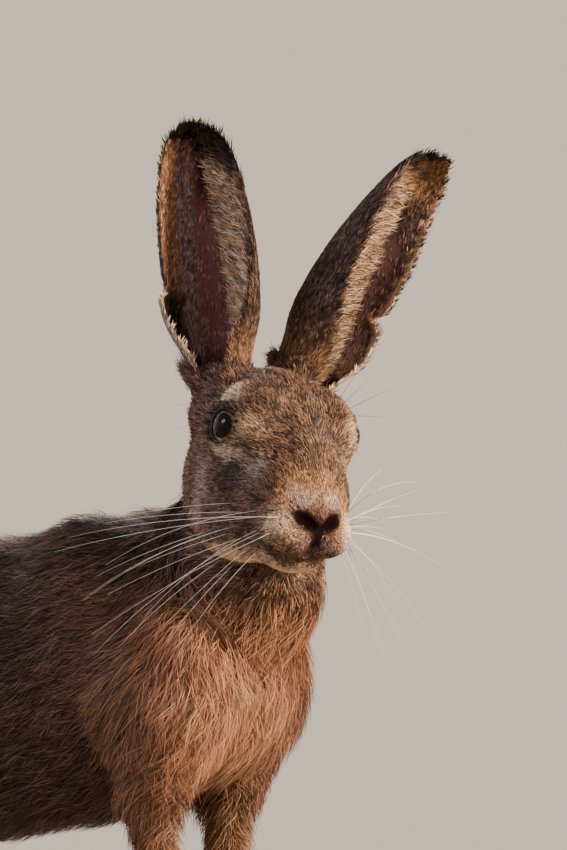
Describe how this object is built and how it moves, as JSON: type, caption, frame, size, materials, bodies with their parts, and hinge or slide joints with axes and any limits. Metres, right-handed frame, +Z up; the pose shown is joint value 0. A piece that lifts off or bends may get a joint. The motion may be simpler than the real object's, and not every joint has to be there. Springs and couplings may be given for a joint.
{
  "type": "brown hare",
  "caption": "Life-size brown hare standing alert on all four feet, its head turned to its right and its long ears raised.",
  "frame": {"origin": "on the floor under the middle of the hare's box", "axes": "+Z up, the hare stands along Y with its chest towards -Y and its tail towards +Y, +X to its left"},
  "size_m": [0.1614, 0.4508, 0.4199],
  "materials": {
    "face_coat": "ticked brown fur, cream round the nose, the mouth and the eyes",
    "ear_coat": "short brown fur with black tips and pale fringed edges",
    "chest_coat": "shaggy rufous fur",
    "back_coat": "dark ticked brown fur over a white belly",
    "leg_coat": "short tan fur",
    "tail_coat": "white fur with a black upper side",
    "eye": "wet dark amber eye",
    "claw": "dark horn"
  },
  "bodies": {
    "root": {"head": "face_coat", "ear_left": "ear_coat", "ear_right": "ear_coat", "eye_left": "eye", "eye_right": "eye", "neck": "face_coat", "chest": "chest_coat", "torso": "back_coat", "rump": "back_coat", "tail": "tail_coat", "forearm_left": "chest_coat", "forepaw_left": "leg_coat", "haunch_left": "back_coat", "hind_foot_left": "leg_coat", "claw_fore_left_1": "claw", "claw_fore_left_2": "claw", "claw_fore_left_3": "claw", "claw_fore_left_4": "claw", "claw_hind_left_1": "claw", "claw_hind_left_2": "claw", "claw_hind_left_3": "claw", "claw_hind_left_4": "claw", "forearm_right": "chest_coat", "forepaw_right": "leg_coat", "haunch_right": "back_coat", "hind_foot_right": "leg_coat", "claw_fore_right_1": "claw", "claw_fore_right_2": "claw", "claw_fore_right_3": "claw", "claw_fore_right_4": "claw", "claw_hind_right_1": "claw", "claw_hind_right_2": "claw", "claw_hind_right_3": "claw", "claw_hind_right_4": "claw"}
  },
  "joints": []
}
